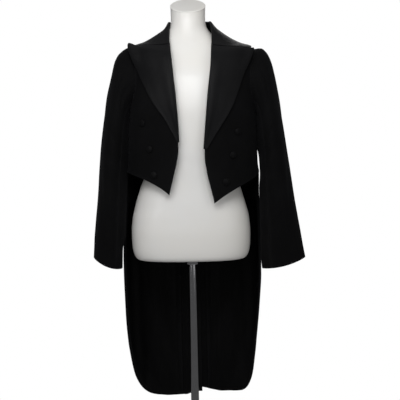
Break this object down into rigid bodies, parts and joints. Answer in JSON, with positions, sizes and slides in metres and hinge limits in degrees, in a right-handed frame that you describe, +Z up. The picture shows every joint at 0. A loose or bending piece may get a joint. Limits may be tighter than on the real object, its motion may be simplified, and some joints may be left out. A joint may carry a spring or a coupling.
{
  "type": "tailcoat on a dress form",
  "caption": "Black evening tailcoat with silk peak lapels, hanging open on a white limbless dress form that stands on a chrome tube with a round foot.",
  "frame": {"origin": "middle of the stand's underside, on the floor under the tube", "axes": "+Z up along the tube, -Y out of the coat's front, +X towards the wearer's left"},
  "size_m": [0.5783, 0.33, 1.5039],
  "materials": {
    "wool_cloth": "fine black wool with a short nap",
    "silk_facing": "black ribbed silk with a soft sheen",
    "satin_lining": "black satin",
    "form_gloss": "white gloss over a hard shell",
    "chrome": "polished"
  },
  "bodies": {
    "root": {"forepart_right": "wool_cloth", "forepart_left": "wool_cloth", "sidebody_right": "wool_cloth", "sidebody_left": "wool_cloth", "back_right": "wool_cloth", "back_left": "wool_cloth", "skirt_right": "wool_cloth", "skirt_left": "wool_cloth", "topsleeve_right": "wool_cloth", "topsleeve_left": "wool_cloth", "undersleeve_right": "wool_cloth", "undersleeve_left": "wool_cloth", "collar_stand": "wool_cloth", "lapel_facing_right": "silk_facing", "lapel_facing_left": "silk_facing", "collar_leaf": "silk_facing", "front_button_right_1": "silk_facing", "front_button_right_2": "silk_facing", "front_button_right_3": "silk_facing", "front_button_left_1": "silk_facing", "front_button_left_2": "silk_facing", "front_button_left_3": "silk_facing", "tail_lining_right": "satin_lining", "tail_lining_left": "satin_lining", "form_torso": "form_gloss", "form_neck_cap": "form_gloss", "stand_socket": "chrome", "stand_tube": "chrome", "stand_hub": "chrome", "stand_foot": "chrome"}
  },
  "joints": []
}
